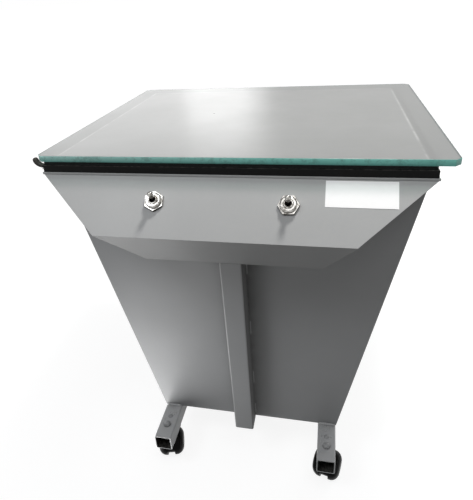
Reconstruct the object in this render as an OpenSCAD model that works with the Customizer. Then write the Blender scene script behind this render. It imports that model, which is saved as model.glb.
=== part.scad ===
// Screen printing exposure unit: a lamp in a sheet-metal hopper under a glass plate, on four casters.
// Millimetres, +Z up, the console faces -Y. Z = 0 is the floor, and X = Y = 0 is the middle of the
// whole unit's footprint. Inside placed(), X = 0 is the hopper's middle and Y = 0 the rim's front edge.

/* [Glass] */
// Width of the glass plate, left to right
glass_w = 508; // [490:1:540]
// Depth of the glass plate, front to back
glass_d = 423; // [410:1:440]
// Thickness of the glass plate
glass_t = 8; // [5:0.5:12]
// How far the loose plate lies right of the hopper's middle
glass_shift = 7; // [0:0.5:12]
// Length cut off each corner of the plate
glass_corner = 7; // [3:0.5:12]
// Height of the rubber strip on the rim
rubber_h = 9; // [6:0.5:12]
// Height of the foam strip between the rubber and the glass
foam_h = 5; // [3:0.5:8]
// Width of both strips
strip_w = 12; // [8:1:16]

/* [Hopper] */
// Height of the rim's top above the floor
rim_top = 583; // [560:1:620]
// Width of the rim
rim_w = 484; // [470:1:490]
// Depth of the rim, with the console's top
rim_d = 400; // [390:1:410]
// Thickness of the rim frame
rim_t = 3; // [2:0.5:4]
// Width of the hopper at its foot
foot_w = 314; // [300:1:330]
// From the rim's front edge back to the front sheet's top
front_top = 32.5; // [28:0.5:40]
// From the rim's front edge back to the front sheet's foot
front_foot = 77; // [70:1:90]
// From the rim's front edge back to the rear sheet's foot
rear_foot = 355; // [340:1:365]
// Thickness of the hopper's and console's sheet
sheet_t = 1.5; // [1:0.25:2]

/* [Console] */
// Width of the console at its nose
nose_w = 314; // [300:1:330]
// How far the nose stands out in front of the rim
nose_out = 55.5; // [45:0.5:65]
// Drop from the face's top edge to the nose
nose_drop = 57.5; // [45:0.5:65]
// Width of the console where its underside turns back to the hopper
tuck_w = 244; // [230:1:270]
// Drop from the face's top edge to that fold
tuck_drop = 128.5; // [120:0.5:135]
// Distance of the left switch from the middle
switch_left = 83; // [60:0.5:100]
// Distance of the right switch from the middle
switch_right = 79.5; // [60:0.5:100]
// Distance of the switches down the sloping face
switch_down = 33; // [28:1:45]
// Width and height of the label
label_size = [79, 32]; // [20:1:90]
// Label's centre, right of the middle and down the face
label_at = [159.5, 17.5]; // [0:0.5:170]

/* [Frame] */
// Outside width of the front post's square tube
post = 32; // [28:1:34]
// How far the post stands left of the hopper's middle
post_left = 1.5; // [0:0.5:4]
// Outside width of the skids' square tube
tube = 30; // [28:1:32]
// Wall of both tubes
tube_wall = 2; // [1.5:0.25:2.5]
// Distance of each skid tube's middle from the hopper's middle
skid_x = 141; // [135:1:145]
// From the rim's front edge back to the skids' open front ends
skid_front = 3; // [0:1:10]
// Length of a skid tube
skid_len = 405; // [395:1:412]
// Height of the skids' underside above the floor
skid_z = 58; // [56:1:62]

/* [Casters] */
// Radius of a wheel
wheel_r = 25; // [22:0.5:26]
// Width of one wheel of a pair
wheel_w = 16; // [12:0.5:17]
// Distance from the stem back to the axle
trail = 16; // [12:0.5:18]
// From a skid's end to the caster's stem
stem_in = 28; // [26:1:30]
// How the casters stand at rest: front left, front right, rear left, rear right, in degrees
swivel = [14, -14, -9, 12]; // [-30:1:30]

/* [Lamp and fan] */
// Radius of the lamp's bulb
bulb_r = 40; // [32:1:42]
// Height of the bulb's middle above the base plate
bulb_up = 147; // [140:1:160]
// Outer radius of the reflector
reflector_r = 116; // [100:1:122]
// Side of the fan's square frame
fan_side = 80; // [76:1:82]
// Thickness of the fan
fan_h = 25; // [22:1:26]

/* [Hidden] */
$fn = 48;

// Heights
rim_low = rim_top - rim_t;
foam_z = rim_top + rubber_h;
glass_z = foam_z + foam_h;
base_z = skid_z + tube;
base_t = 2;
hopper_z = base_z + base_t;
// The opening in the rim frame
bar_w = 20;
bar_front = front_top + bar_w;
// Lean of each sheet from upright
lean_front = atan2(front_foot - front_top, rim_top - base_z);
lean_rear = atan2(rim_d - rear_foot, rim_top - base_z);
lean_side = atan2((rim_w - foot_w) / 2, rim_top - base_z);
// Slopes of the console's face and underside
face_len = norm([nose_out, nose_drop]);
face_tilt = atan2(nose_drop, nose_out);
nose = [-nose_out, rim_low - nose_drop];
tuck_z = rim_low - tuck_drop;
tuck_y = front_top + (rim_top - tuck_z) * tan(lean_front) - post;
under_tilt = 180 - atan2(nose[1] - tuck_z, tuck_y - nose[0]);
// The plane of the console's right end, through the ends of its three edges
end_top = [rim_w / 2 - 2, 0, rim_low];
end_nose = [nose_w / 2, nose[0], nose[1]];
end_tuck = [tuck_w / 2, tuck_y, tuck_z];
end_normal = cross(end_nose - end_top, end_tuck - end_top) / norm(cross(end_nose - end_top, end_tuck - end_top));
// The footprint's middle, seen from the rim's front edge
mid_y = (glass_d - nose_out) / 2;
// Where the wires leave the post for the hopper
wire_drop_z = base_z + 26;
// Switch parts, with heights above the face
switch_hole_r = 6.3;
bushing_r = 6;
bushing_bore_r = 3.6;
bushing_h = 8.5;
nut_r = 13;
nut_t = 3;
ring_r = 10;
ring_h = 4;
housing = [18, 28, 20];
lever_pivot = 3;
lever_tilt = -12;
lever_len = 17.5;
lever_tip_r = 3.5;
lever_pin = [1.8, 5.6];
// Lamp and fan places, from the rim's front edge
lamp_y = (front_foot + rear_foot) / 2;
fan_y = rear_foot - fan_side / 2 - 14;
fan_bore_r = fan_side / 2 - 2;
fan_screw_pitch = fan_side - 8.5;
holder_z = base_z + 12;
bulb_z = base_z + bulb_up;
// Gland
gland_x = -95;
gland_down = 462;
gland_bore_r = 4;
// Casters
stem_r = 4;
axle_r = 4;
running = 0.05;
bracket_t = 3;
rear_stem_y = skid_front + skid_len - stem_in;
front_stem_y = skid_front + stem_in;
stems = [[-skid_x, front_stem_y], [skid_x, front_stem_y], [-skid_x, rear_stem_y], [skid_x, rear_stem_y]];
fixing_pitch = 19;
web_half = 6.5;
wheel_gap = 0.5;
fork_r = wheel_r + 3;
dome_r = 14;
hood_half = 19;
big = 900;

// From the rim's front edge and the hopper's middle to the unit's own frame
module placed() translate([-glass_shift, -mid_y, 0]) children();

// Everything outside one sheet's outer plane, moved in by inset
module beyond_front(inset) translate([0, front_top, rim_top]) rotate([lean_front, 0, 0])
    translate([-big / 2, inset - big, -big]) cube([big, big, 2 * big]);
module beyond_rear(inset) translate([0, rim_d, rim_top]) rotate([-lean_rear, 0, 0])
    translate([-big / 2, -inset, -big]) cube([big, big, 2 * big]);
module beyond_side(side, inset) translate([side * rim_w / 2, 0, rim_top]) rotate([0, side * lean_side, 0])
    translate([side > 0 ? -inset : inset - big, -big / 2, -big]) cube([big, 2 * big, 2 * big]);

// The frames of the sloping sheets: their outer faces are the plane Y = 0, and Z runs up them
module on_front() translate([0, front_top, rim_top]) rotate([lean_front, 0, 0]) children();
module on_rear() translate([0, rim_d, rim_top]) rotate([-lean_rear, 0, 0]) children();
// The frame of the console's face: the outer face is Z = 0, and Y runs up it to its top edge
module on_face(x, down) translate([0, 0, rim_low]) rotate([face_tilt, 0, 0])
    translate([x, -down, 0]) children();

// Where a switch stands; side is -1 for the left one and 1 for the right one
function switch_at(side) = side < 0 ? -switch_left : switch_right;

module hopper_solid() difference() {
    translate([-rim_w / 2, 0, hopper_z]) cube([rim_w, rim_d, rim_low - hopper_z]);
    beyond_front(0);
    beyond_rear(0);
    beyond_side(-1, 0);
    beyond_side(1, 0);
}

module hopper_side(side) color([0.62, 0.63, 0.63]) placed() difference() {
    intersection() {
        hopper_solid();
        beyond_side(side, sheet_t);
    }
    beyond_front(sheet_t);
    beyond_rear(sheet_t);
}

// A square ring of one outer size and bar widths: sides and back, front
module ring_2d(w, d, side, front) difference() {
    translate([-w / 2, 0]) square([w, d]);
    translate([side - w / 2, front]) square([w - 2 * side, d - side - front]);
}

// A tube swept along hand-chosen points, with its section carried along without twist
function unit(v) = v / norm(v);
function tangent(p, i) = unit(p[min(i + 1, len(p) - 1)] - p[max(i - 1, 0)]);
function carried(p, i, n) = let (t = tangent(p, i), m = n - t * (n * t)) unit(m);
function normals(p, i, n) = i >= len(p) ? [] : let (m = carried(p, i, n)) concat([m], normals(p, i + 1, m));
module wire(p, r) {
    sides = 8;
    ns = normals(p, 0, [0.6, 0.3, 0.74]);
    points = [
        for (i = [0 : len(p) - 1]) let (b = cross(tangent(p, i), ns[i]))
            for (k = [0 : sides - 1]) p[i] + r * (cos(360 * k / sides) * ns[i] + sin(360 * k / sides) * b)
    ];
    walls = [
        for (i = [0 : len(p) - 2]) for (k = [0 : sides - 1])
            let (a = i * sides + k, c = i * sides + (k + 1) % sides)
                each [[a, a + sides, c], [c, a + sides, c + sides]]
    ];
    ends = [
        for (k = [1 : sides - 2]) [0, k, k + 1],
        for (k = [1 : sides - 2]) let (z = (len(p) - 1) * sides) [z, z + k + 1, z + k]
    ];
    polyhedron(points, concat(walls, ends));
}

// Glass, strip and rim

module glass_plate() color([0.62, 0.78, 0.74, 0.5]) placed() translate([glass_shift, 0, glass_z]) {
    x = glass_w / 2;
    c = glass_corner;
    linear_extrude(glass_t) polygon([
        [c - x, 0], [x - c, 0], [x, c], [x, glass_d - c],
        [x - c, glass_d], [c - x, glass_d], [-x, glass_d - c], [-x, c]
    ]);
}

module foam_strip() color([0.2, 0.21, 0.21]) placed() translate([0, 2, foam_z])
    linear_extrude(foam_h) ring_2d(rim_w - 8, rim_d - 7, strip_w - 3, strip_w - 3);

module rubber_strip() color([0.04, 0.04, 0.04]) placed() translate([0, 0.5, rim_top])
    linear_extrude(rubber_h) ring_2d(rim_w - 4, rim_d - 3, strip_w, strip_w);

module rim_frame() color([0.66, 0.67, 0.67]) placed() translate([0, 0, rim_low])
    linear_extrude(rim_t) ring_2d(rim_w, rim_d, bar_w, bar_front);

// Hopper sheets

module hopper_front() color([0.6, 0.61, 0.61]) placed() difference() {
    intersection() {
        hopper_solid();
        beyond_front(sheet_t);
    }
    translate([0, 0, wire_drop_z]) rotate([90, 0, 0])
        translate([0, 0, -big / 2]) cylinder(r = 6, h = big);
}

module hopper_rear() color([0.6, 0.61, 0.61]) placed() difference() {
    intersection() {
        hopper_solid();
        beyond_rear(sheet_t);
    }
    on_rear() {
        for (row = [0 : 4]) for (side = [-1, 1])
            translate([side * 36 - 30, -10, -44 - 11 * row]) cube([60, 20, 4]);
        translate([gland_x, 10, -gland_down]) rotate([90, 0, 0]) cylinder(r = 8.2, h = 30);
    }
}

module hopper_left() hopper_side(-1);
module hopper_right() hopper_side(1);

// A hood inside the rear sheet that hides the lamp from the slots and is open at its foot
module vent_baffle() color([0.6, 0.61, 0.61]) placed() on_rear() difference() {
    translate([-76, -18 - sheet_t, -112]) cube([152, 18, 84]);
    translate([-76 + sheet_t, -18, -112 - 1]) cube([152 - 2 * sheet_t, 20, 84 + 1 - sheet_t]);
}

// Console

// Everything outside the console's end plane on one side, moved in by inset
module beyond_end(side, inset) mirror([side < 0 ? 1 : 0, 0, 0]) translate(end_top)
    rotate([0, -asin(end_normal[2]), atan2(end_normal[1], end_normal[0])])
    translate([-inset, -big, -big]) cube([big, 2 * big, 2 * big]);

// The solid behind the face, over the underside and its fold back, and in front of the hopper
module console_wedge(inset) difference() {
    translate([-rim_w / 2, -nose_out - 10, tuck_z + inset])
        cube([rim_w, nose_out + tuck_y + post + 20, rim_low - tuck_z - inset]);
    translate([0, 0, rim_low]) rotate([face_tilt, 0, 0])
        translate([-big / 2, -big, -inset]) cube([big, 2 * big, big]);
    translate([0, nose[0], nose[1]]) rotate([under_tilt, 0, 0])
        translate([-big / 2, -big, -inset]) cube([big, 2 * big, big]);
    difference() {
        translate([-big / 2, 0, 0]) cube([big, big, big]);
        beyond_front(0);
    }
}

module console_ends(inset) for (side = [-1, 1]) {
    beyond_end(side, inset);
    beyond_side(side, inset);
}

module console_cover() color([0.68, 0.69, 0.69]) placed() difference() {
    console_wedge(0);
    console_wedge(sheet_t);
    console_ends(0);
    for (side = [-1, 1]) on_face(switch_at(side), switch_down)
        translate([0, 0, -10]) cylinder(r = switch_hole_r, h = 20);
    on_front() translate([tube_wall - post / 2 - post_left, tube_wall - post, tuck_z - rim_top - 20])
        cube([post - 2 * tube_wall, post - 2 * tube_wall, 30]);
}

module console_end(side) color([0.64, 0.65, 0.65]) placed() difference() {
    intersection() {
        console_wedge(sheet_t);
        union() {
            beyond_end(side, sheet_t);
            beyond_side(side, sheet_t);
        }
    }
    beyond_end(side, 0);
    beyond_side(side, 0);
}
module console_end_left() console_end(-1);
module console_end_right() console_end(1);

module label_plate() color([0.95, 0.95, 0.95]) placed() on_face(label_at[0], label_at[1])
    translate([-label_size[0] / 2, -label_size[1] / 2, 0]) cube([label_size[0], label_size[1], 0.3]);

// Frame

module front_post() color([0.62, 0.63, 0.63]) placed() intersection() {
    translate([-2 * post, -big / 2, base_z]) cube([4 * post, big, tuck_z - base_z]);
    difference() {
        on_front() translate([-post / 2 - post_left, -post, -big]) cube([post, post, 2 * big]);
        on_front() translate([tube_wall - post / 2 - post_left, tube_wall - post, -big])
            cube([post - 2 * tube_wall, post - 2 * tube_wall, 2 * big]);
        translate([0, front_foot, wire_drop_z]) rotate([90, 0, 0])
            translate([0, 0, -10]) cylinder(r = 6, h = 24);
    }
}

module skid(side) color([0.6, 0.61, 0.61]) placed() translate([side * skid_x, skid_front, skid_z]) difference() {
    translate([-tube / 2, 0, 0]) cube([tube, skid_len, tube]);
    translate([tube_wall - tube / 2, -1, tube_wall])
        cube([tube - 2 * tube_wall, skid_len + 2, tube - 2 * tube_wall]);
    for (y = [stem_in, skid_len - stem_in]) translate([0, y, -1]) cylinder(r = stem_r, h = tube + 2);
    for (y = [stem_in + fixing_pitch, skid_len - stem_in - fixing_pitch])
        translate([0, y, -1]) cylinder(r = 2, h = tube + 2);
}
module skid_left() skid(-1);
module skid_right() skid(1);

module base_plate() color([0.6, 0.61, 0.61]) placed() difference() {
    translate([-foot_w / 2, front_foot, base_z]) cube([foot_w, rear_foot - front_foot, base_t]);
    translate([0, fan_y, base_z - 1]) cylinder(r = fan_bore_r, h = base_t + 2);
    for (x = [-1, 1], y = [-1, 1]) translate([x * fan_screw_pitch / 2, fan_y + y * fan_screw_pitch / 2, base_z - 1])
        cylinder(r = 2, h = base_t + 2);
    translate([52, fan_y, base_z - 1]) cylinder(r = 4, h = base_t + 2);
    for (p = screw_places) translate([p[0], p[1], base_z - 1]) cylinder(r = 2, h = base_t + 2);
}

// Switches

module switch_place(side) placed() on_face(switch_at(side), switch_down) children();

module switch_housings() color([0.12, 0.1, 0.09]) for (side = [-1, 1]) switch_place(side) {
    translate([-housing[0] / 2, -housing[1] / 2, -sheet_t - housing[2] - 1.5]) cube(housing);
    for (y = [-9, 0, 9]) translate([-3, y - 0.4, -sheet_t - housing[2] - 8.5]) cube([6, 0.8, 7]);
}

module switch_bushings() color([0.8, 0.79, 0.75]) for (side = [-1, 1]) switch_place(side) difference() {
    union() {
        translate([0, 0, -sheet_t - 1.5]) cylinder(r = 9, h = 1.5);
        translate([0, 0, -sheet_t - 1]) cylinder(r = bushing_r, h = bushing_h + sheet_t + 1);
    }
    translate([0, 0, lever_pivot - 5]) cylinder(r = bushing_bore_r, h = 20);
}

// The hexagonal nut on the face; the two stand at different angles
module switch_nuts() color([0.82, 0.81, 0.77]) for (side = [-1, 1]) switch_place(side) difference() {
    rotate([0, 0, side < 0 ? 33 : 2]) cylinder(r = nut_r, h = nut_t, $fn = 6);
    translate([0, 0, -1]) cylinder(r = bushing_r, h = nut_t + 2);
}

// The round ring nut on top of it
module switch_rings() color([0.75, 0.74, 0.7]) for (side = [-1, 1]) switch_place(side)
    translate([0, 0, nut_t]) rotate_extrude() polygon([
        [bushing_r, 0], [ring_r, 0], [ring_r, ring_h - 1.5], [ring_r - 1.5, ring_h], [bushing_r, ring_h]
    ]);

// A bat lever: it turns on a short cross pin in the bushing's bore, and its neck swells to a round tip
module toggle_lever(side) color([0.84, 0.83, 0.8]) switch_place(side)
    translate([0, 0, lever_pivot]) rotate([lever_tilt, 0, 0]) {
        rotate_extrude($fn = 32) difference() {
            union() {
                polygon([[0, 0], [1.5, 0], [1.5, 6], [lever_tip_r, lever_len - lever_tip_r], [0, lever_len - lever_tip_r]]);
                translate([0, lever_len - lever_tip_r]) circle(r = lever_tip_r);
            }
            translate([-20, -10]) square([20, 40]);
        }
        rotate([0, 90, 0]) cylinder(r = lever_pin[0], h = lever_pin[1], center = true);
    }
module toggle_lever_left() toggle_lever(-1);
module toggle_lever_right() toggle_lever(1);

// Lamp

bracket_half = 34;
screw_places = [
    [-bracket_half + 5, lamp_y], [bracket_half - 5, lamp_y],
    [-16, front_foot + 33], [16, front_foot + 33]
];

module lamp_bracket() color([0.7, 0.7, 0.7]) placed() translate([0, lamp_y, base_z + base_t]) difference() {
    translate([0, 12, 0]) rotate([90, 0, 0]) linear_extrude(24) union() {
        for (side = [-1, 1]) {
            translate([side > 0 ? bracket_half - 12 : -bracket_half, 0]) square([12, 1.5]);
            translate([side > 0 ? bracket_half - 13 : 11.5 - bracket_half, 0]) square([1.5, 8]);
        }
        translate([11.5 - bracket_half, 8]) square([2 * bracket_half - 23, 2]);
    }
    for (side = [-1, 1]) translate([side * (bracket_half - 5), 0, -1]) cylinder(r = 2, h = 4);
}

module lampholder() color([0.9, 0.89, 0.86]) placed() translate([0, lamp_y, holder_z]) rotate_extrude()
    polygon([[0, 0], [19, 0], [19, 6], [22, 10], [22, 46], [20, 48], [14.5, 48], [14.5, 12], [0, 12]]);

module lamp_cap() color([0.75, 0.7, 0.5]) placed() translate([0, lamp_y, holder_z + 12]) rotate_extrude() polygon(concat(
    [[0, 0], [4, 0], [5, 4], [12, 7]],
    [for (i = [0 : 4]) each [[13, 9 + 4.5 * i], [12.2, 11.2 + 4.5 * i]]],
    [[13, 32], [0, 32]]
));

// The bulb's half outline, moved in by inset: a neck that widens into a ball. The neck is open below, on the cap
module bulb_outline(inset) polygon(concat(
    [for (a = [-35 : 5 : 90]) (bulb_r - inset) * [cos(a), sin(a)]],
    [for (x = [0, 13 - inset]) [x, holder_z + 44 - bulb_z - inset]],
    [[14 - inset, -bulb_up + 62]]
));

module lamp_bulb() color([0.95, 0.95, 0.9, 0.7]) placed() translate([0, lamp_y, bulb_z]) rotate_extrude($fn = 64) difference() {
    bulb_outline(0);
    bulb_outline(1.2);
}

module lamp_reflector() color([0.85, 0.85, 0.86]) placed() translate([0, lamp_y, base_z + 40]) rotate_extrude($fn = 64)
    polygon([
        [24, 0], [72, 0], [reflector_r, 38], [reflector_r + 3, 38], [reflector_r + 3, 39.2],
        [reflector_r - 0.5, 39.2], [71.5, 1.2], [24, 1.2]
    ]);

module reflector_standoffs() color([0.75, 0.75, 0.75]) placed()
    for (a = [30, 150, 270]) translate([60 * cos(a), lamp_y + 60 * sin(a), base_z + base_t])
        cylinder(r = 3, h = 40 - base_t);

// Fan under the base plate

module fan_frame() color([0.1, 0.1, 0.1]) placed() translate([0, fan_y, base_z - fan_h]) difference() {
    union() {
        difference() {
            translate([-fan_side / 2, -fan_side / 2, 0]) cube([fan_side, fan_side, fan_h]);
            translate([0, 0, -1]) cylinder(r = fan_bore_r, h = fan_h + 2);
        }
        cylinder(r = 17, h = 3);
        for (a = [45 : 90 : 315]) rotate([0, 0, a]) translate([16, -2, 0]) cube([fan_bore_r - 15, 4, 3]);
    }
    translate([0, 0, -1]) cylinder(r = 2 + running, h = 5);
    for (x = [-1, 1], y = [-1, 1]) translate([x * fan_screw_pitch / 2, y * fan_screw_pitch / 2, -1])
        cylinder(r = 2.15, h = fan_h + 2);
}

module fan_rotor() color([0.16, 0.16, 0.16]) placed() translate([0, fan_y, base_z - fan_h]) {
    translate([0, 0, 0.6]) cylinder(r = 2, h = 4);
    translate([0, 0, 4]) cylinder(r = 16.5, h = fan_h - 6);
    intersection() {
        translate([0, 0, 4.5]) cylinder(r = fan_bore_r - 1.5, h = fan_h - 7);
        union() for (k = [0 : 6]) rotate([0, 0, k * 360 / 7]) translate([14, 0, fan_h / 2 + 1])
            rotate([38, 0, 0]) translate([0, -12, -0.8]) cube([30, 24, 1.6]);
    }
}

module fan_guard() color([0.8, 0.8, 0.8]) placed() translate([0, fan_y, base_z - fan_h - 1.2]) {
    for (r = [10, 19, 28, 37]) rotate_extrude() translate([r, 0]) circle(r = 0.9, $fn = 16);
    for (a = [45, 135]) rotate([0, 0, a]) difference() {
        translate([-fan_screw_pitch / 2 * sqrt(2) - 4, -2, -0.8]) cube([fan_screw_pitch * sqrt(2) + 8, 4, 2]);
        for (side = [-1, 1]) translate([side * fan_screw_pitch / 2 * sqrt(2), 0, -2]) cylinder(r = 1.9, h = 5);
    }
}

module fan_screws() color([0.75, 0.75, 0.75]) placed()
    for (x = [-1, 1], y = [-1, 1]) translate([x * fan_screw_pitch / 2, fan_y + y * fan_screw_pitch / 2, 0]) {
        translate([0, 0, base_z - fan_h - 2]) cylinder(r = 1.9, h = fan_h + base_t + 5);
        translate([0, 0, base_z - fan_h - 4]) cylinder(r = 3.5, h = 2);
        translate([0, 0, base_z + base_t]) cylinder(r = 3.8, h = 3, $fn = 6);
    }

// Gland for the mains lead

module on_gland() placed() on_rear() translate([gland_x, 0, -gland_down]) rotate([-90, 0, 0]) children();

module gland_body() color([0.08, 0.08, 0.08]) on_gland() difference() {
    union() {
        translate([0, 0, -sheet_t - 9]) cylinder(r = 8, h = sheet_t + 9 + 20);
        cylinder(r = 12.5, h = 5, $fn = 6);
    }
    translate([0, 0, -sheet_t - 10]) cylinder(r = gland_bore_r, h = 40);
}

// The domed nut outside and the locknut inside the rear sheet
module gland_nuts() color([0.08, 0.08, 0.08]) on_gland() difference() {
    union() {
        translate([0, 0, 5]) cylinder(r = 12, h = 8, $fn = 6);
        translate([0, 0, 12]) cylinder(r = 10.3, h = 7);
        translate([0, 0, -sheet_t - 5]) cylinder(r = 12.5, h = 5, $fn = 6);
    }
    translate([0, 0, -sheet_t - 6]) cylinder(r = 8, h = 40);
}

// Wiring

module terminal_block() color([0.9, 0.9, 0.88]) placed() translate([0, front_foot + 33, base_z + base_t]) difference() {
    union() {
        translate([-22, -9, 0]) cube([44, 18, 8]);
        for (x = [-9, 0, 9]) translate([x - 3.4, -7, 8]) cube([6.8, 14, 8]);
    }
    for (x = [-9, 0, 9]) translate([x, 0, 9]) cylinder(r = 2.2, h = 8);
    for (x = [-16, 16]) translate([x, 0, -1]) cylinder(r = 2 + running, h = 10);
}

module inner_screws() color([0.75, 0.75, 0.75]) placed() {
    for (p = screw_places) translate([p[0], p[1], base_z - 2]) cylinder(r = 2, h = 4);
    for (i = [0, 1]) translate([screw_places[i][0], screw_places[i][1], base_z + base_t]) {
        cylinder(r = 2, h = 2);
        translate([0, 0, 1.5]) cylinder(r = 3.6, h = 2);
    }
    for (i = [2, 3]) translate([screw_places[i][0], screw_places[i][1], base_z + base_t]) {
        cylinder(r = 2, h = 9);
        translate([0, 0, 8]) cylinder(r = 3.4, h = 2);
    }
}

module wire_grommet() color([0.05, 0.05, 0.05]) placed() {
    grommet_y = front_foot - (wire_drop_z - base_z) * tan(lean_front);
    translate([0, grommet_y, wire_drop_z]) rotate([90, 0, 0]) difference() {
        union() {
            translate([0, 0, -7]) cylinder(r = 6, h = 13);
            translate([0, 0, -7]) cylinder(r = 8.5, h = 3);
        }
        translate([0, 0, -8]) cylinder(r = 4.6, h = 16);
    }
}

// Routes start at a switch's terminals or the terminal block
drop_y = front_top - post / 2;
function down_post(x, z) = [x, drop_y + (rim_top - z) * tan(lean_front), z];
function switch_route(side) = [
    [switch_at(side), 4, 534], [switch_at(side) - side * 2, 5, 526], [switch_at(side) - side * 10, 7, 520],
    [side * 48, 9, 514], [side * 26, 15, 507],
    [side * 10, 23, 495], [side * 4, 27, 480], down_post(side * 2.4, 455), down_post(side * 2.4, 400),
    down_post(side * 2.4, 300), down_post(side * 2.4, 200), down_post(side * 2.4, 136),
    [side * 2.4, 62, 120], [side * 2.4, 70, 114.5], [side * 2.4, 84, 114], [side * 3.2, 92, 115],
    [side * 4.5, 95.5, 112], [side * 4.5, 97.5, 108], [side * 4.5, 102, 105.5]
];
module switch_wires() color([0.1, 0.1, 0.1]) placed() for (side = [-1, 1]) wire(switch_route(side), 2);

lamp_route = [
    [-9, 118, 101], [-12, 124, 100], [-20, 136, 97], [-27, 150, 96], [-30, 170, 96], [-29, 184, 97],
    [-26, 192, 100], [-22, 199, 103.5], [-18.4, 204, 104]
];
module lamp_wires() color([0.9, 0.88, 0.8]) placed() wire(lamp_route, 2.2);

fan_route = [
    [9, 118, 101], [14, 124, 99], [30, 140, 95], [38, 160, 94], [40, 200, 94], [43, 240, 94],
    [49, 268, 94], [52, 288, 94],
    [52, 297, 92.5], [52, 301, 88], [52, 301, 82], [49, 301, 77.5], [45, 301, 76], [40.2, 301, 76]
];
module fan_wires() color([0.1, 0.1, 0.1]) placed() wire(fan_route, 1.6);

// Casters

module at_stem(i) placed() translate([stems[i][0], stems[i][1], 0]) children();
// Towards the skid's middle from a stem
function inboard(i) = i < 2 ? 1 : -1;

module caster_brackets() color([0.55, 0.56, 0.56]) for (i = [0 : 3]) at_stem(i) difference() {
    translate([-14, i < 2 ? -13 : -fixing_pitch - 9, skid_z - bracket_t]) cube([28, fixing_pitch + 22, bracket_t]);
    translate([0, 0, skid_z - bracket_t - 1]) cylinder(r = stem_r, h = bracket_t + 2);
    translate([0, inboard(i) * fixing_pitch, skid_z - bracket_t - 1]) cylinder(r = 2, h = bracket_t + 2);
}

module caster_stems() color([0.7, 0.7, 0.7]) for (i = [0 : 3]) at_stem(i)
    translate([0, 0, skid_z - 22]) cylinder(r = stem_r, h = 22 + tube + 3);

// A domed nut on each stem and a round-headed screw beside it, both on top of the skid
module caster_fixings() color([0.62, 0.63, 0.63]) for (i = [0 : 3]) at_stem(i) {
    translate([0, 0, base_z]) difference() {
        union() {
            cylinder(r = 6.8, h = 3.5, $fn = 6);
            intersection() {
                cylinder(r = 5.6, h = 8);
                translate([0, 0, 0.5]) sphere(r = 6.2);
            }
        }
        translate([0, 0, -1]) cylinder(r = stem_r, h = 4);
    }
    translate([0, inboard(i) * fixing_pitch, 0]) {
        translate([0, 0, skid_z - bracket_t]) cylinder(r = 2, h = tube + bracket_t);
        translate([0, 0, base_z]) intersection() {
            cylinder(r = 4.4, h = 3);
            translate([0, 0, -2.6]) sphere(r = 5.3);
        }
    }
}

// The frame of a caster's axle: X runs along the axle
module at_axle(i) at_stem(i) rotate([0, 0, swivel[i]]) translate([0, trail, wheel_r]) children();

// Half the outline of both wheels of a caster, grown by grow; X is the radius and Y runs along the axle
module pair_outline(grow) for (turn = [0, 1]) mirror([0, turn, 0]) {
    square([wheel_r + grow, web_half + wheel_w - dome_r]);
    square([wheel_r - dome_r, web_half + wheel_w + grow]);
    intersection() {
        translate([wheel_r - dome_r, web_half + wheel_w - dome_r]) circle(r = dome_r + grow);
        translate([wheel_r - dome_r, 0]) square([fork_r, fork_r]);
    }
}

module caster_fork(i) color([0.05, 0.05, 0.05]) difference() {
    union() {
        at_axle(i) {
            rotate([0, 90, 0]) translate([0, 0, -web_half]) cylinder(r = wheel_r - 4, h = 2 * web_half);
            difference() {
                union() {
                    rotate([0, 90, 0]) translate([0, 0, -web_half]) cylinder(r = fork_r, h = 2 * web_half);
                    rotate([0, 90, 0]) intersection() {
                        rotate_extrude($fn = 64) difference() {
                            pair_outline(3);
                            pair_outline(1);
                        }
                        translate([0, 0, -hood_half]) cylinder(r = fork_r + 1, h = 2 * hood_half);
                    }
                }
                translate([-fork_r, -fork_r - 1, -fork_r - 1]) cube([2 * fork_r, 2 * fork_r + 2, fork_r + 7]);
                rotate([30, 0, 0]) translate([-fork_r, 0, -fork_r]) cube([2 * fork_r, 2 * fork_r, fork_r + 16]);
            }
        }
        at_stem(i) translate([0, 0, 48]) cylinder(r = 8.5, h = 6.2);
        at_stem(i) rotate([0, 0, swivel[i]]) translate([-web_half, -8.5, 32]) cube([2 * web_half, 17, 18]);
    }
    at_stem(i) translate([0, 0, skid_z - 24]) cylinder(r = stem_r + running, h = 40);
    at_axle(i) rotate([0, 90, 0]) translate([0, 0, -20]) cylinder(r = axle_r + running, h = 40);
}
module caster_fork_front_left() caster_fork(0);
module caster_fork_front_right() caster_fork(1);
module caster_fork_rear_left() caster_fork(2);
module caster_fork_rear_right() caster_fork(3);

module axle(i) color([0.6, 0.6, 0.6]) at_axle(i) rotate([0, 90, 0])
    translate([0, 0, -web_half - wheel_w + 3]) cylinder(r = axle_r, h = 2 * (web_half + wheel_w - 3));
module axle_front_left() axle(0);
module axle_front_right() axle(1);
module axle_rear_left() axle(2);
module axle_rear_right() axle(3);

// A wheel with a domed outer face; face is 1 on the axle's +X end and -1 on the other
module wheel(i, face) color([0.04, 0.04, 0.04]) at_axle(i) rotate([0, face * 90, 0])
    translate([0, 0, web_half + wheel_gap]) difference() {
        rotate_extrude($fn = 64) intersection() {
            square([wheel_r, wheel_w]);
            union() {
                square([wheel_r, wheel_w - dome_r]);
                translate([wheel_r - dome_r, wheel_w - dome_r]) circle(r = dome_r);
                square([wheel_r - dome_r, wheel_w]);
            }
        }
        translate([0, 0, -1]) cylinder(r = axle_r + running, h = wheel_w - 2);
        translate([0, 0, wheel_w - 1]) difference() {
            cylinder(r = 14, h = 2);
            translate([0, 0, -1]) cylinder(r = 11.5, h = 4);
        }
    }
module wheel_front_left_outer() wheel(0, -1);
module wheel_front_left_inner() wheel(0, 1);
module wheel_front_right_outer() wheel(1, 1);
module wheel_front_right_inner() wheel(1, -1);
module wheel_rear_left_outer() wheel(2, -1);
module wheel_rear_left_inner() wheel(2, 1);
module wheel_rear_right_outer() wheel(3, 1);
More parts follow.
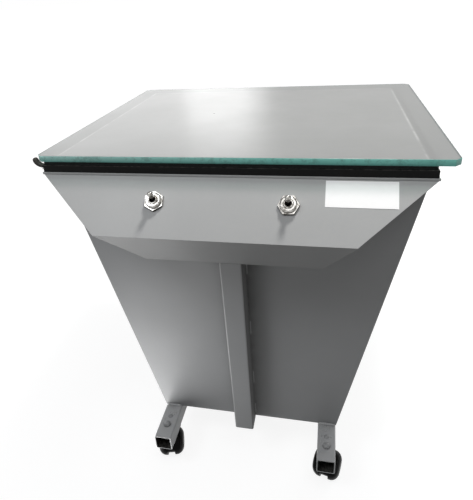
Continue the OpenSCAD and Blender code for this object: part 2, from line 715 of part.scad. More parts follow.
module wheel_rear_right_inner() wheel(3, -1);

glass_plate();
foam_strip();
rubber_strip();
rim_frame();
hopper_front();
hopper_rear();
hopper_left();
hopper_right();
console_cover();
console_end_left();
console_end_right();
label_plate();
front_post();
skid_left();
skid_right();
base_plate();
vent_baffle();
switch_housings();
switch_bushings();
switch_nuts();
switch_rings();
toggle_lever_left();
toggle_lever_right();
lamp_bracket();
lampholder();
lamp_cap();
lamp_bulb();
lamp_reflector();
reflector_standoffs();
fan_frame();
fan_rotor();
fan_guard();
fan_screws();
gland_body();
gland_nuts();
terminal_block();
inner_screws();
wire_grommet();
switch_wires();
lamp_wires();
fan_wires();
caster_brackets();
caster_stems();
caster_fixings();
caster_fork_front_left();
caster_fork_front_right();
caster_fork_rear_left();
caster_fork_rear_right();
axle_front_left();
axle_front_right();
axle_rear_left();
axle_rear_right();
wheel_front_left_outer();
wheel_front_left_inner();
wheel_front_right_outer();
wheel_front_right_inner();
wheel_rear_left_outer();
wheel_rear_left_inner();
wheel_rear_right_outer();
wheel_rear_right_inner();
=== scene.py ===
import math
import random

import bmesh
import bpy
from mathutils import Matrix, Vector


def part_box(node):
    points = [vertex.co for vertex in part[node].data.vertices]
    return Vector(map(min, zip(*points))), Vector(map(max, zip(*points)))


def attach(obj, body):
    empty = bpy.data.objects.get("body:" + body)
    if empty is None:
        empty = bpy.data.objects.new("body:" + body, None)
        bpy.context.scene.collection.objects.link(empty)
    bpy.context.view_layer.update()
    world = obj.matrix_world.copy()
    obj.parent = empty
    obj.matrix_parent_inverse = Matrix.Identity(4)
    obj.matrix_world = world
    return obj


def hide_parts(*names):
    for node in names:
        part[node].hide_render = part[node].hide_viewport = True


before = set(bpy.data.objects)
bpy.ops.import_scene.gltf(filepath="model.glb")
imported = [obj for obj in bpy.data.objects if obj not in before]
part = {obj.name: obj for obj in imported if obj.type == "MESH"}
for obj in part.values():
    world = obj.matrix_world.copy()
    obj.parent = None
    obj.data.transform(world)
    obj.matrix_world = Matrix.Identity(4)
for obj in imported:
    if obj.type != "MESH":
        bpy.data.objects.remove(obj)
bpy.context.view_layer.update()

# The studio. The camera stands a little right of the console, close above it and looking down at it.
# The floor is a plain pale sheet that reads white where it is lit and keeps a soft shadow of the unit.
YAW, PITCH, ROLL = -0.2447, 0.4862, 0.0712
EYE = (0.11145, -0.69245, 0.7793)
FOCAL_PX, CENTRE_PX, PICTURE_PX = 462.98, (220.59, 234.57), (473, 500)
SENSOR = 36.0

ahead = Vector((math.sin(YAW) * math.cos(PITCH), math.cos(YAW) * math.cos(PITCH), -math.sin(PITCH)))
level_right = Vector((math.cos(YAW), -math.sin(YAW), 0.0))
level_down = ahead.cross(level_right)
right = math.cos(ROLL) * level_right + math.sin(ROLL) * level_down
down = -math.sin(ROLL) * level_right + math.cos(ROLL) * level_down

camera = bpy.data.objects.new("camera", bpy.data.cameras.new("camera"))
bpy.context.scene.collection.objects.link(camera)
turn = Matrix((right, -down, -ahead)).transposed().to_4x4()
camera.matrix_world = Matrix.Translation(EYE) @ turn
camera.data.sensor_fit = "VERTICAL"
camera.data.sensor_height = SENSOR
camera.data.lens = FOCAL_PX / PICTURE_PX[1] * SENSOR
camera.data.shift_x = (PICTURE_PX[0] / 2 - CENTRE_PX[0]) / PICTURE_PX[1]
camera.data.shift_y = (CENTRE_PX[1] - PICTURE_PX[1] / 2) / PICTURE_PX[1]
camera.data.clip_start = 0.01
bpy.context.scene.camera = camera
bpy.context.scene.view_settings.view_transform = "Standard"


def add(tree, kind, inputs=None, **settings):
    """Adds a node with its settings, and links or sets its inputs."""
    node = tree.nodes.new(kind)
    for name, value in settings.items():
        setattr(node, name, value)
    for name, value in (inputs or {}).items():
        if isinstance(value, bpy.types.NodeSocket):
            tree.links.new(value, node.inputs[name])
        else:
            node.inputs[name].default_value = value
    return node


def maths(tree, operation, *values):
    """A Math node's result."""
    return add(tree, "ShaderNodeMath", dict(enumerate(values)), operation=operation).outputs[0]


world = bpy.data.worlds.new("studio")
world.use_nodes = True
bpy.context.scene.world = world
sky = world.node_tree
sky.nodes.clear()
ray = add(sky, "ShaderNodeLightPath").outputs
seen = maths(sky, "MAXIMUM", ray["Is Camera Ray"], ray["Is Glossy Ray"])
seen = maths(sky, "MAXIMUM", seen, ray["Is Transmission Ray"])
AMBIENT = 0.07
strength = maths(sky, "MULTIPLY_ADD", seen, 1.0 - AMBIENT, AMBIENT)
shine = add(sky, "ShaderNodeBackground", {"Color": (1.0, 1.0, 1.0, 1.0), "Strength": strength})
add(sky, "ShaderNodeOutputWorld", {"Surface": shine.outputs[0]})

FLOOR_HALF = 90
floor_corners = [(FLOOR_HALF * x, FLOOR_HALF * y, 0) for x, y in ((-1, -1), (1, -1), (1, 1), (-1, 1))]
floor_mesh = bpy.data.meshes.new("floor")
floor_mesh.from_pydata(floor_corners, [], [(0, 1, 2, 3)])
floor = bpy.data.objects.new("floor", floor_mesh)
bpy.context.scene.collection.objects.link(floor)
floor_paint = bpy.data.materials.new("pale_floor")
floor_paint.use_nodes = True
tree = floor_paint.node_tree
tree.nodes.clear()
ray = add(tree, "ShaderNodeLightPath").outputs
seen = maths(tree, "MAXIMUM", ray["Is Camera Ray"], ray["Is Glossy Ray"])
SEEN_THROUGH_GLASS = 0.3
seen = maths(tree, "MULTIPLY_ADD", ray["Is Transmission Ray"], SEEN_THROUGH_GLASS, seen)
# the glow is lower near the unit and rises away from it: painted shade on the floor round the unit
away = add(tree, "ShaderNodeNewGeometry").outputs["Position"]
away = add(tree, "ShaderNodeVectorMath", {0: away}, operation="LENGTH").outputs["Value"]
NEAR_GLOW, FAR_GLOW, NEAR, FAR = 0.88, 1.0, 0.4, 1.6
glow = add(tree, "ShaderNodeMapRange", {"Value": away, "From Min": NEAR, "From Max": FAR,
                                        "To Min": NEAR_GLOW, "To Max": FAR_GLOW}).outputs[0]
lit = add(tree, "ShaderNodeBsdfDiffuse", {"Color": (0.25, 0.25, 0.25, 1.0)})
glow = add(tree, "ShaderNodeEmission", {"Strength": maths(tree, "MULTIPLY", seen, glow)})
both = add(tree, "ShaderNodeAddShader", {0: lit.outputs[0], 1: glow.outputs[0]})
add(tree, "ShaderNodeOutputMaterial", {"Surface": both.outputs[0]})
floor_mesh.materials.append(floor_paint)


def lamp(name, spot, aim, width, height, watts, colour):
    """A soft rectangular lamp that isn't seen itself."""
    data = bpy.data.lights.new(name, "AREA")
    data.shape = "RECTANGLE"
    data.size = width
    data.size_y = height
    data.energy = watts
    data.color = colour
    light = bpy.data.objects.new(name, data)
    bpy.context.scene.collection.objects.link(light)
    light.location = spot
    light.rotation_euler = (Vector(aim) - Vector(spot)).to_track_quat("-Z", "Y").to_euler()
    light.visible_camera = False
    return light


WARM, COOL, NEUTRAL = (1.0, 0.985, 0.96), (0.93, 0.96, 1.0), (1.0, 1.0, 1.0)
lamp("ceiling_lamp", (0.215, 0.09, 1.465), (0.0, -0.2, 0.55), 0.14, 0.14, 9.8, WARM)
lamp("high_left", (-0.8, -0.9, 1.8), (0.0, -0.15, 0.4), 0.5, 0.5, 7.2, COOL)
lamp("overhead", (0.4, -0.8, 2.1), (0.0, -0.15, 0.35), 1.0, 1.0, 8.8, NEUTRAL)
lamp("floor_patch", (-0.31, -0.3, 0.01), (-0.31, -0.2999, 1.0), 0.26, 0.4, 1.55, NEUTRAL)
lamp("back_window", (-0.54, 2.1, 1.085), (-0.08, 0.09, 0.6), 0.38, 0.22, 0.66, NEUTRAL)
lamp("back_wall", (-1.05, 2.3, 1.1), (-0.1, 0.1, 0.5), 1.6, 0.8, 5.0, NEUTRAL)
lamp("rear_fill", (1.15, 1.35, 0.5), (0.1, 0.1, 0.3), 0.9, 0.6, 9.0, NEUTRAL)

# Painted steel. The hopper is four sloping sheets welded along their corners, with a flat rim frame on top,
# a base plate below and a hood behind the air slots, all sprayed in light grey enamel.


def shader_group(name, inputs, outputs):
    """An empty shader group with named inputs, each with its start value, and outputs."""
    group = bpy.data.node_groups.new(name, "ShaderNodeTree")
    kinds = {"colour": "NodeSocketColor", "vector": "NodeSocketVector", "value": "NodeSocketFloat"}
    for label, (kind, start) in inputs.items():
        socket = group.interface.new_socket(label, in_out="INPUT", socket_type=kinds[kind])
        if start is not None:
            socket.default_value = start
    for label, kind in outputs.items():
        group.interface.new_socket(label, in_out="OUTPUT", socket_type=kinds[kind])
    return group, add(group, "NodeGroupInput").outputs, add(group, "NodeGroupOutput").inputs


def use(tree, group, inputs=None):
    """Places a shader group and returns its outputs."""
    node = tree.nodes.new("ShaderNodeGroup")
    node.node_tree = group
    for name, value in (inputs or {}).items():
        if isinstance(value, bpy.types.NodeSocket):
            tree.links.new(value, node.inputs[name])
        else:
            node.inputs[name].default_value = value
    return node.outputs


def noise(tree, vector, scale, detail=2.0, roughness=0.5):
    """A noise texture's value."""
    inputs = {"Vector": vector, "Scale": scale, "Detail": detail, "Roughness": roughness}
    return add(tree, "ShaderNodeTexNoise", inputs).outputs["Fac"]


def between(tree, value, low, high, start=0.0, end=1.0):
    """A value mapped from low..high to start..end, held inside that."""
    inputs = {"Value": value, "From Min": low, "From Max": high, "To Min": start, "To Max": end}
    return add(tree, "ShaderNodeMapRange", inputs).outputs[0]


def mix(tree, share, first, second):
    """Two colours mixed by a share of the second."""
    node = add(tree, "ShaderNodeMix", data_type="RGBA")
    for socket, value in ((node.inputs[0], share), (node.inputs[6], first), (node.inputs[7], second)):
        if isinstance(value, bpy.types.NodeSocket):
            tree.links.new(value, socket)
        else:
            socket.default_value = value if socket.type == "VALUE" else (*value[:3], 1.0)
    return node.outputs[2]


# sprayed enamel: a fine orange peel, a few dust nibs and a slow drift in tone
enamel_group, given, gives = shader_group(
    "sprayed enamel",
    {"Vector": ("vector", None), "Peel Size": ("value", 700.0)},
    {"Height": "value", "Drift": "value", "Nibs": "value"},
)
peel = noise(enamel_group, given["Vector"], given["Peel Size"], 2.0)
nibs = add(enamel_group, "ShaderNodeTexVoronoi", {"Vector": given["Vector"], "Scale": 95.0})
nibs = between(enamel_group, nibs.outputs["Distance"], 0.0, 0.07, 1.0, 0.0)
sparse = between(enamel_group, noise(enamel_group, given["Vector"], 31.0), 0.56, 0.66)
nibs = maths(enamel_group, "MULTIPLY", nibs, sparse)
enamel_group.links.new(maths(enamel_group, "MULTIPLY_ADD", nibs, 1.5, peel), gives["Height"])
enamel_group.links.new(nibs, gives["Nibs"])
drift = noise(enamel_group, given["Vector"], 6.0, 4.0, 0.6)
enamel_group.links.new(between(enamel_group, drift, 0.3, 0.7), gives["Drift"])

# wear where an edge is bare: the shading normal of a rounded corner leans away from the true one there
wear_group, given, gives = shader_group(
    "edge wear",
    {"Vector": ("vector", None), "Width": ("value", 0.0012), "Amount": ("value", 0.5)},
    {"Mask": "value"},
)
rounded = add(wear_group, "ShaderNodeBevel", {"Radius": given["Width"]}, samples=4).outputs[0]
true_normal = add(wear_group, "ShaderNodeNewGeometry").outputs["Normal"]
lean = add(wear_group, "ShaderNodeVectorMath", {0: rounded, 1: true_normal}, operation="DOT_PRODUCT")
edge = between(wear_group, lean.outputs["Value"], 0.97, 0.8)
patches = between(wear_group, noise(wear_group, given["Vector"], 160.0, 4.0, 0.7), 0.45, 0.6)
edge = maths(wear_group, "MULTIPLY", edge, patches)
wear_group.links.new(maths(wear_group, "MULTIPLY", edge, given["Amount"]), gives["Mask"])

# dust that settles in specks on what faces up
dust_group, given, gives = shader_group(
    "settled dust", {"Vector": ("vector", None), "Amount": ("value", 0.3)}, {"Mask": "value"}
)
facing = add(dust_group, "ShaderNodeNewGeometry").outputs["Normal"]
facing = add(dust_group, "ShaderNodeSeparateXYZ", {0: facing})
upward = between(dust_group, facing.outputs["Z"], 0.55, 0.95)
speckle = between(dust_group, noise(dust_group, given["Vector"], 210.0, 6.0, 0.75), 0.42, 0.7)
settled = maths(dust_group, "MULTIPLY", upward, speckle)
dust_group.links.new(maths(dust_group, "MULTIPLY", settled, given["Amount"]), gives["Mask"])

# painted shade that darkens inner corners and round fittings, the more they are closed in, in patches
painted_shade_group, given, gives = shader_group(
    "painted corner shade",
    {"Vector": ("vector", None), "Reach": ("value", 0.02), "Amount": ("value", 0.6)},
    {"Mask": "value"},
)
closed_in = add(painted_shade_group, "ShaderNodeAmbientOcclusion", {"Distance": given["Reach"]}, samples=6)
closed_in = between(painted_shade_group, closed_in.outputs["AO"], 0.72, 0.40)
uneven = between(painted_shade_group, noise(painted_shade_group, given["Vector"], 55.0, 5.0, 0.7), 0.25, 0.7, 0.5, 1.0)
closed_in = maths(painted_shade_group, "MULTIPLY", closed_in, uneven)
painted_shade_group.links.new(maths(painted_shade_group, "MULTIPLY", closed_in, given["Amount"]), gives["Mask"])


def new_material(name):
    """A material with its tree, its shader and the piece's own coordinates."""
    material = bpy.data.materials.new(name)
    material.use_nodes = True
    tree = material.node_tree
    return material, tree, tree.nodes["Principled BSDF"], add(tree, "ShaderNodeTexCoord").outputs["Object"]


# the colour of the painted shade in corners, and the colour of dust
CORNER_SHADE_COLOUR, DUST_COLOUR = (0.075, 0.072, 0.066), (0.52, 0.50, 0.47)
PRIMER = (0.30, 0.295, 0.285)


def enamel(
    name, colour, wear=0.35, dust=0.25, roughness=0.42, bare=PRIMER, underside_shade=0.9, reach=0.02, corner_shade=0.6
):
    """Sprayed enamel in one colour, with its wear, dust and gloss. What faces down is painted darker,
    as painted shade, by underside_shade; reach is how far the painted shade in corners spreads, and
    corner_shade how dark it is."""
    material, tree, shader, coords = new_material(name)
    shader.inputs["Specular IOR Level"].default_value = 0.3
    spray = use(tree, enamel_group, {"Vector": coords})
    worn = use(tree, wear_group, {"Vector": coords, "Amount": wear})["Mask"]
    dusty = use(tree, dust_group, {"Vector": coords, "Amount": dust})["Mask"]
    darker = tuple(0.93 * c for c in colour)
    shade = mix(tree, spray["Drift"], colour, darker)
    facing = add(tree, "ShaderNodeSeparateXYZ", {0: add(tree, "ShaderNodeNewGeometry").outputs["Normal"]})
    # what faces down is painted darker: painted shade
    below = between(tree, facing.outputs["Z"], -0.15, -0.35)
    shade = mix(tree, below, shade, tuple(underside_shade * c for c in darker))
    shade = mix(tree, worn, shade, bare)
    # inner corners painted dark: painted shade
    grime_and_shade = use(tree, painted_shade_group, {"Vector": coords, "Reach": reach, "Amount": corner_shade})["Mask"]
    shade = mix(tree, grime_and_shade, shade, CORNER_SHADE_COLOUR)
    shade = mix(tree, dusty, shade, DUST_COLOUR)
    tree.links.new(shade, shader.inputs["Base Color"])
    gloss = maths(tree, "MULTIPLY_ADD", spray["Drift"], 0.08, roughness)
    gloss = maths(tree, "MULTIPLY_ADD", dusty, 0.4, gloss)
    gloss = maths(tree, "MULTIPLY_ADD", grime_and_shade, 0.5, gloss)
    tree.links.new(gloss, shader.inputs["Roughness"])
    bump = add(tree, "ShaderNodeBump", {"Height": spray["Height"], "Strength": 0.05, "Distance": 0.0004})
    tree.links.new(bump.outputs[0], shader.inputs["Normal"])
    return material


def finish(material, *names):
    """Gives CAD nodes their material."""
    for name in names:
        part[name].data.materials.clear()
        part[name].data.materials.append(material)


shade_smooth = bpy.data.node_groups.new("smooth shading", "GeometryNodeTree")
shade_smooth.interface.new_socket("Geometry", in_out="INPUT", socket_type="NodeSocketGeometry")
shade_smooth.interface.new_socket("Geometry", in_out="OUTPUT", socket_type="NodeSocketGeometry")
unsplit = add(shade_smooth, "GeometryNodeMergeByDistance",
              {"Geometry": add(shade_smooth, "NodeGroupInput").outputs[0], "Distance": 2e-6})
smoothed = add(shade_smooth, "GeometryNodeSetShadeSmooth", {"Geometry": unsplit.outputs[0]})
add(shade_smooth, "NodeGroupOutput", {0: smoothed.outputs[0]})


def ease(width, *names, segments=2, angle=28.0):
    """Rounds the sharp edges of CAD nodes a little, as a real edge is."""
    for name in names:
        part[name].modifiers.new("smooth", "NODES").node_group = shade_smooth
        merge = part[name].modifiers.new("flat faces", "DECIMATE")
        merge.decimate_type = "DISSOLVE"
        merge.angle_limit = math.radians(0.2)
        round_off = part[name].modifiers.new("eased", "BEVEL")
        round_off.width = width
        round_off.segments = segments
        round_off.limit_method = "ANGLE"
        round_off.angle_limit = math.radians(angle)
        part[name].modifiers.new("flat shading", "WEIGHTED_NORMAL").keep_sharp = True


BODY_GREY = (0.39, 0.395, 0.40)
grey_enamel = enamel("grey_enamel", BODY_GREY)
finish(grey_enamel, "base_plate", "vent_baffle", "hopper_rear", "hopper_left", "hopper_right")
# on the front sheet and the post, the painted shade in corners reaches far and is dark
front_enamel = enamel("front_enamel", BODY_GREY, reach=0.04, corner_shade=0.85)
finish(front_enamel, "hopper_front")
# the rim is a lighter grey than the body: painted light on its shaded front edge
finish(enamel("lightened_rim_enamel", (0.47, 0.475, 0.475), reach=0.002), "rim_frame")
ease(0.0005, "rim_frame", "base_plate", "vent_baffle")
ease(0.0005, "hopper_front", "hopper_rear", "hopper_left", "hopper_right")

# The glass is a loose plate of float glass with ground edges and cropped corners. Its top is satin, so it
# shows only a soft glow of what is over it. Over the strips its colour is painted darker, standing in for
# the strips seen through it, with a painted highlight as a pale line where they end.
glass, tree, shader, coords = new_material("satin_glass")
low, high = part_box("glass_plate")
place = add(tree, "ShaderNodeSeparateXYZ", {0: coords}).outputs
facing = add(tree, "ShaderNodeSeparateXYZ", {0: add(tree, "ShaderNodeNewGeometry").outputs["Normal"]})
flat = between(tree, maths(tree, "ABSOLUTE", facing.outputs["Z"]), 0.5, 0.9)
# the ground edges are painted darker towards the bottom, and lighter towards the top and the left: painted
# shade and painted light
up_edge = between(tree, place["Z"], low.z, high.z)
chips = between(tree, noise(tree, coords, 90.0, 5.0, 0.7), 0.5, 0.62)
along_edge = between(tree, place["X"], low.x, 0.05)
edge_painted_light = mix(tree, along_edge, (0.62, 0.99, 0.93), (0.29, 0.88, 0.76))
ground = mix(tree, up_edge, (0.06, 0.34, 0.29), edge_painted_light)
ground = mix(tree, maths(tree, "MULTIPLY", chips, 0.35), ground, (0.03, 0.10, 0.09))
# the strips' inner edges, and how wide the painted pale line and the painted dark line along the arris are
OPEN_X, OPEN_Y, LINE, ARRIS_SHADE = (-0.222, 0.219), (-0.30, 0.199), 0.0022, 0.0032
from_left = maths(tree, "SUBTRACT", place["X"], OPEN_X[0])
from_right = maths(tree, "SUBTRACT", OPEN_X[1], place["X"])
from_front = maths(tree, "SUBTRACT", place["Y"], OPEN_Y[0])
from_back = maths(tree, "SUBTRACT", OPEN_Y[1], place["Y"])
inside = maths(tree, "MINIMUM", maths(tree, "MINIMUM", from_left, from_right),
               maths(tree, "MINIMUM", from_front, from_back))
film = noise(tree, coords, 14.0, 5.0, 0.65)
satin = mix(tree, between(tree, film, 0.3, 0.7), (0.236, 0.239, 0.237), (0.219, 0.222, 0.219))
# over the strips the top is painted darker, standing in for them seen through the glass
satin = mix(tree, between(tree, inside, 0.0, -0.002), satin, (0.196, 0.199, 0.197))
# a painted highlight: a pale, patchy line along the strips' inner edges
line = between(tree, maths(tree, "ABSOLUTE", inside), LINE, 0.0)
patchy = between(tree, noise(tree, coords, 30.0, 4.0, 0.6), 0.35, 0.7, 0.0, 0.42)
satin = mix(tree, maths(tree, "MULTIPLY", line, patchy), satin, (0.72, 0.73, 0.72))
# painted shade: a dark line along the left, right and back arrises
arris_shade = maths(tree, "MINIMUM", maths(tree, "SUBTRACT", place["X"], low.x),
              maths(tree, "SUBTRACT", high.x, place["X"]))
arris_shade = maths(tree, "MINIMUM", arris_shade, maths(tree, "SUBTRACT", high.y, place["Y"]))
arris_shade = between(tree, arris_shade, ARRIS_SHADE, 0.5 * ARRIS_SHADE)
satin = mix(tree, maths(tree, "MULTIPLY", arris_shade, 0.9), satin, (0.03, 0.045, 0.042))
tree.links.new(mix(tree, flat, ground, satin), shader.inputs["Base Color"])
shader.inputs["Transmission Weight"].default_value = 0.3
shader.inputs["IOR"].default_value = 1.5
satin_gloss = maths(tree, "MULTIPLY_ADD", film, 0.08, 0.25)
smear = add(tree, "ShaderNodeMix", {0: flat, 2: 0.4, 3: satin_gloss}, data_type="FLOAT").outputs[0]
tree.links.new(smear, shader.inputs["Roughness"])
grain = noise(tree, coords, 900.0, 2.0)
bump = add(tree, "ShaderNodeBump", {"Height": grain, "Strength": 0.06, "Distance": 0.0002})
tree.links.new(bump.outputs[0], shader.inputs["Normal"])
through = add(tree, "ShaderNodeBsdfTransparent", {"Color": (0.6, 0.66, 0.64, 1.0)})
shadow_ray = add(tree, "ShaderNodeLightPath").outputs["Is Shadow Ray"]
output = next(n for n in tree.nodes if n.type == "OUTPUT_MATERIAL")
either = add(tree, "ShaderNodeMixShader", {0: shadow_ray, 1: shader.outputs[0], 2: through.outputs[0]})
tree.links.new(either.outputs[0], output.inputs["Surface"])
finish(glass, "glass_plate")
ease(0.0007, "glass_plate")

# The strips under the glass: black rubber that is glued on the rim, and a dark grey closed-cell foam glued
# on top of it, which the plate lies on.


def soft_black(name, colour, roughness, grain, depth, sheen=0.2, dust=0.3):
    """Rubber, foam or moulded plastic with its grain; sheen is how strongly it mirrors."""
    material, tree, shader, coords = new_material(name)
    shader.inputs["Specular IOR Level"].default_value = sheen
    dusty = use(tree, dust_group, {"Vector": coords, "Amount": dust})["Mask"]
    pores = noise(tree, coords, grain, 4.0, 0.6)
    shade = mix(tree, between(tree, pores, 0.35, 0.65), colour, tuple(0.6 * c for c in colour))
    tree.links.new(mix(tree, dusty, shade, (0.25, 0.24, 0.22)), shader.inputs["Base Color"])
    tree.links.new(maths(tree, "MULTIPLY_ADD", pores, 0.25, roughness), shader.inputs["Roughness"])
    bump = add(tree, "ShaderNodeBump", {"Height": pores, "Strength": depth, "Distance": 0.0005})
    tree.links.new(bump.outputs[0], shader.inputs["Normal"])
    return material


black_rubber = soft_black("black_rubber", (0.004, 0.004, 0.004), 0.55, 500.0, 0.15, 0.12)
grey_foam = soft_black("grey_foam", (0.030, 0.033, 0.033), 0.75, 900.0, 0.4, 0.12)
finish(black_rubber, "rubber_strip", "wire_grommet")
finish(grey_foam, "foam_strip")
ease(0.0008, "rubber_strip", "foam_strip")


def piece(name, mesh, material, body="unit"):
    """A finished mesh as a smooth piece that rides on a body."""
    mesh.normal_update()
    bmesh.ops.recalc_face_normals(mesh, faces=mesh.faces)
    data = bpy.data.meshes.new(name)
    mesh.to_mesh(data)
    mesh.free()
    for face in data.polygons:
        face.use_smooth = True
    data.materials.append(material)
    made = bpy.data.objects.new(name, data)
    bpy.context.scene.collection.objects.link(made)
    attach(made, body)
    return made


def skin(mesh, rings, closed=False):
    """Joins rings of points by faces. The ends are capped, or joined to each other when closed."""
    rows = [[mesh.verts.new(point) for point in ring] for ring in rings]
    around = len(rows[0])
    for near, far in zip(rows, rows[1:] + rows[:1] if closed else rows[1:]):
        for k in range(around):
            after = (k + 1) % around
            mesh.faces.new((near[k], near[after], far[after], far[k]))
    if not closed:
        mesh.faces.new(rows[0])
        mesh.faces.new(rows[-1])


def sweep(mesh, path, across, section):
    """Carries a section along a path. section(i) gives its points as shares of across and of the normal."""
    rings = []
    for i, point in enumerate(path):
        along = (path[min(i + 1, len(path) - 1)] - path[max(i - 1, 0)]).normalized()
        normal = along.cross(across).normalized()
        rings.append([point + a * across + b * normal for a, b in section(i)])
    skin(mesh, rings)


# the strip's loose end: it comes out at the front left corner and bends up beside the glass, with a torn bit
# of its pale backing tape below it
END_PATH = ((-0.2440, 0.5900), (-0.2490, 0.5902), (-0.2535, 0.5916), (-0.2568, 0.5946), (-0.2584, 0.5980),
            (-0.2588, 0.6002), (-0.2589, 0.6010))
END_SIZES = (1.0, 1.0, 1.05, 1.15, 1.15, 0.9, 0.5)
TAPE_PATH = ((-0.2430, 0.5905), (-0.2475, 0.5880), (-0.2500, 0.5865), (-0.2515, 0.5855))
TAPE_SIZES = (1.0, 1.0, 0.9, 0.6)
END_Y = -0.1785


def flap(name, points, sizes, width, thick, material):
    """A short end of strip or tape that follows points given as (x, z)."""
    half, deep, cut = width / 2, thick / 2, thick / 4
    outline = [(half, deep - cut), (half - cut, deep), (cut - half, deep), (-half, deep - cut),
               (-half, cut - deep), (cut - half, -deep), (half - cut, -deep), (half, cut - deep)]
    mesh = bmesh.new()
    path = [Vector((x, END_Y, z)) for x, z in points]
    sweep(mesh, path, Vector((0.0, 1.0, 0.0)), lambda i: [(sizes[i] * a, sizes[i] * b) for a, b in outline])
    made = piece(name, mesh, material)
    made.modifiers.new("finer", "SUBSURF").levels = 1


torn_rubber = soft_black("torn_rubber", (0.05, 0.046, 0.042), 0.6, 500.0, 0.4)
flap("strip_end", END_PATH, END_SIZES, 0.008, 0.0048, torn_rubber)
backing_tape = soft_black("backing_tape", (0.55, 0.55, 0.53), 0.5, 300.0, 0.1)
flap("tape_end", TAPE_PATH, TAPE_SIZES, 0.0075, 0.0008, backing_tape)

# The console is one folded cover with two welded end plates, in the same enamel, with its corners rubbed
# bright. Its underside is painted much darker, as painted shade.
console_enamel = enamel("console_enamel", (0.40, 0.405, 0.405), wear=0.55, bare=(0.60, 0.60, 0.59), underside_shade=0.5,
                        reach=0.003)
finish(console_enamel, "console_cover", "console_end_left", "console_end_right")
ease(0.0007, "console_cover")
ease(0.0004, "console_end_left", "console_end_right")

# The label is a bare white vinyl sticker, stuck on the sloping face at its right end. Handling has left a
# faint grey mottle on it.
vinyl, tree, shader, coords = new_material("white_vinyl")
grime_and_shade = between(tree, noise(tree, coords, 45.0, 5.0, 0.7), 0.5, 0.75, 0.0, 0.12)
tree.links.new(mix(tree, grime_and_shade, (0.94, 0.94, 0.94), (0.66, 0.65, 0.63)), shader.inputs["Base Color"])
shader.inputs["Roughness"].default_value = 0.35
finish(vinyl, "label_plate")

# The post and the two skids are square steel tube with rounded corners. The post is welded on the front sheet
# and carries the switch wires down; the hopper is welded on the skids, whose ends are sawn off and left open.
TUBE_WALL, CORNER, CORNER_STEPS = 0.002, 0.0028, 4


def tube_outline(side, corner):
    """The points round a square with rounded corners."""
    points = []
    for turn in range(4):
        for step in range(CORNER_STEPS + 1):
            angle = math.radians(90 * turn + 90 * step / CORNER_STEPS)
            start = math.radians(90 * turn + 45)
            middle = (side / 2 - corner) * math.sqrt(2)
            points.append((middle * math.cos(start) + corner * math.cos(angle),
                           middle * math.sin(start) + corner * math.sin(angle)))
    return points


def metal(name, colour, roughness, grain=260.0, stretch=(1.0, 1.0, 1.0), depth=0.05, grime_and_shade=0.5, tarnish=0.15):
    """Bare or plated metal with fine marks, tarnished in patches. Where it is closed in it is painted darker,
    as painted shade.
    """
    material, tree, shader, coords = new_material(name)
    stretched = add(tree, "ShaderNodeMapping", {"Vector": coords, "Scale": stretch}).outputs[0]
    marks = noise(tree, stretched, grain, 5.0, 0.65)
    shade = mix(tree, marks, colour, tuple(0.75 * c for c in colour))
    stains = between(tree, noise(tree, coords, 230.0, 3.0, 0.6), 0.46, 0.6, 0.0, tarnish)
    shade = mix(tree, stains, shade, (0.09, 0.08, 0.065))
    # the hollows are painted dark: painted shade
    shade_in_hollows = use(tree, painted_shade_group, {"Vector": coords, "Reach": 0.006, "Amount": grime_and_shade})["Mask"]
    tree.links.new(mix(tree, shade_in_hollows, shade, (0.05, 0.045, 0.04)), shader.inputs["Base Color"])
    tree.links.new(between(tree, marks, 0.3, 0.7, roughness, roughness + 0.14), shader.inputs["Roughness"])
    shader.inputs["Metallic"].default_value = 1.0
    bump = add(tree, "ShaderNodeBump", {"Height": marks, "Strength": depth, "Distance": 0.0002})
    tree.links.new(bump.outputs[0], shader.inputs["Normal"])
    return material


mill_scale = soft_black("mill_scale", (0.009, 0.0085, 0.008), 0.6, 350.0, 0.3, 0.1)


def square_tube(name, node, side, paint, first, last):
    """A square tube that stands for a CAD node. first and last place an outline point at each end."""
    outer = tube_outline(side, CORNER)
    inner = tube_outline(side - 2 * TUBE_WALL, CORNER / 2)
    burr = tube_outline(side - 0.0006, CORNER)
    saw = 0.0003
    mesh = bmesh.new()
    ends = [(first(*p, 0.0), last(*p, 0.0)) for p in burr]
    skin(mesh, (
        [a for a, b in ends], [first(*p, saw) for p in outer], [last(*p, -saw) for p in outer],
        [b for a, b in ends], [last(*p, 0.0) for p in inner], [first(*p, 0.0) for p in inner],
    ), closed=True)
    tube = piece(name, mesh, paint)
    tube.data.materials.append(mill_scale)
    bore_strip = 4
    for face in tube.data.polygons:
        face.material_index = 1 if face.index // len(outer) == bore_strip else 0
    tube.modifiers.new("flat shading", "WEIGHTED_NORMAL")
    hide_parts(node)
    return tube


# the skids are a lighter grey than the body: painted light on their tops, which the hopper shades
lit_skid_enamel = enamel("lit_skid_enamel", (0.49, 0.495, 0.50), wear=0.8, roughness=0.34, bare=(0.62, 0.61, 0.60))
for side in ("left", "right"):
    low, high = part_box("skid_" + side)
    middle_x, middle_z = (low.x + high.x) / 2, (low.z + high.z) / 2
    tube = square_tube(
        "skid_tube_" + side, "skid_" + side, high.z - low.z, lit_skid_enamel,
        lambda a, b, d, x=middle_x, z=middle_z, y=low.y: Vector((x + a, y + d, z + b)),
        lambda a, b, d, x=middle_x, z=middle_z, y=high.y: Vector((x + a, y + d, z + b)),
    )

# the front sheet's own frame: its outer face is the plane Y = 0 and Z runs up it
MIDDLE_X, SHEET_BACK, SHEET_FALL = -0.007, 44.5, 495.0
LEAN, SHEET_TOP = math.atan2(SHEET_BACK, SHEET_FALL), Vector((MIDDLE_X, -0.15125, 0.583))
front_sheet = Matrix.Translation(SHEET_TOP) @ Matrix.Rotation(LEAN, 4, "X")
POST_SIDE, POST_X = 0.032, -0.0015
POST_TOP, POST_FOOT = 0.4515, 0.088


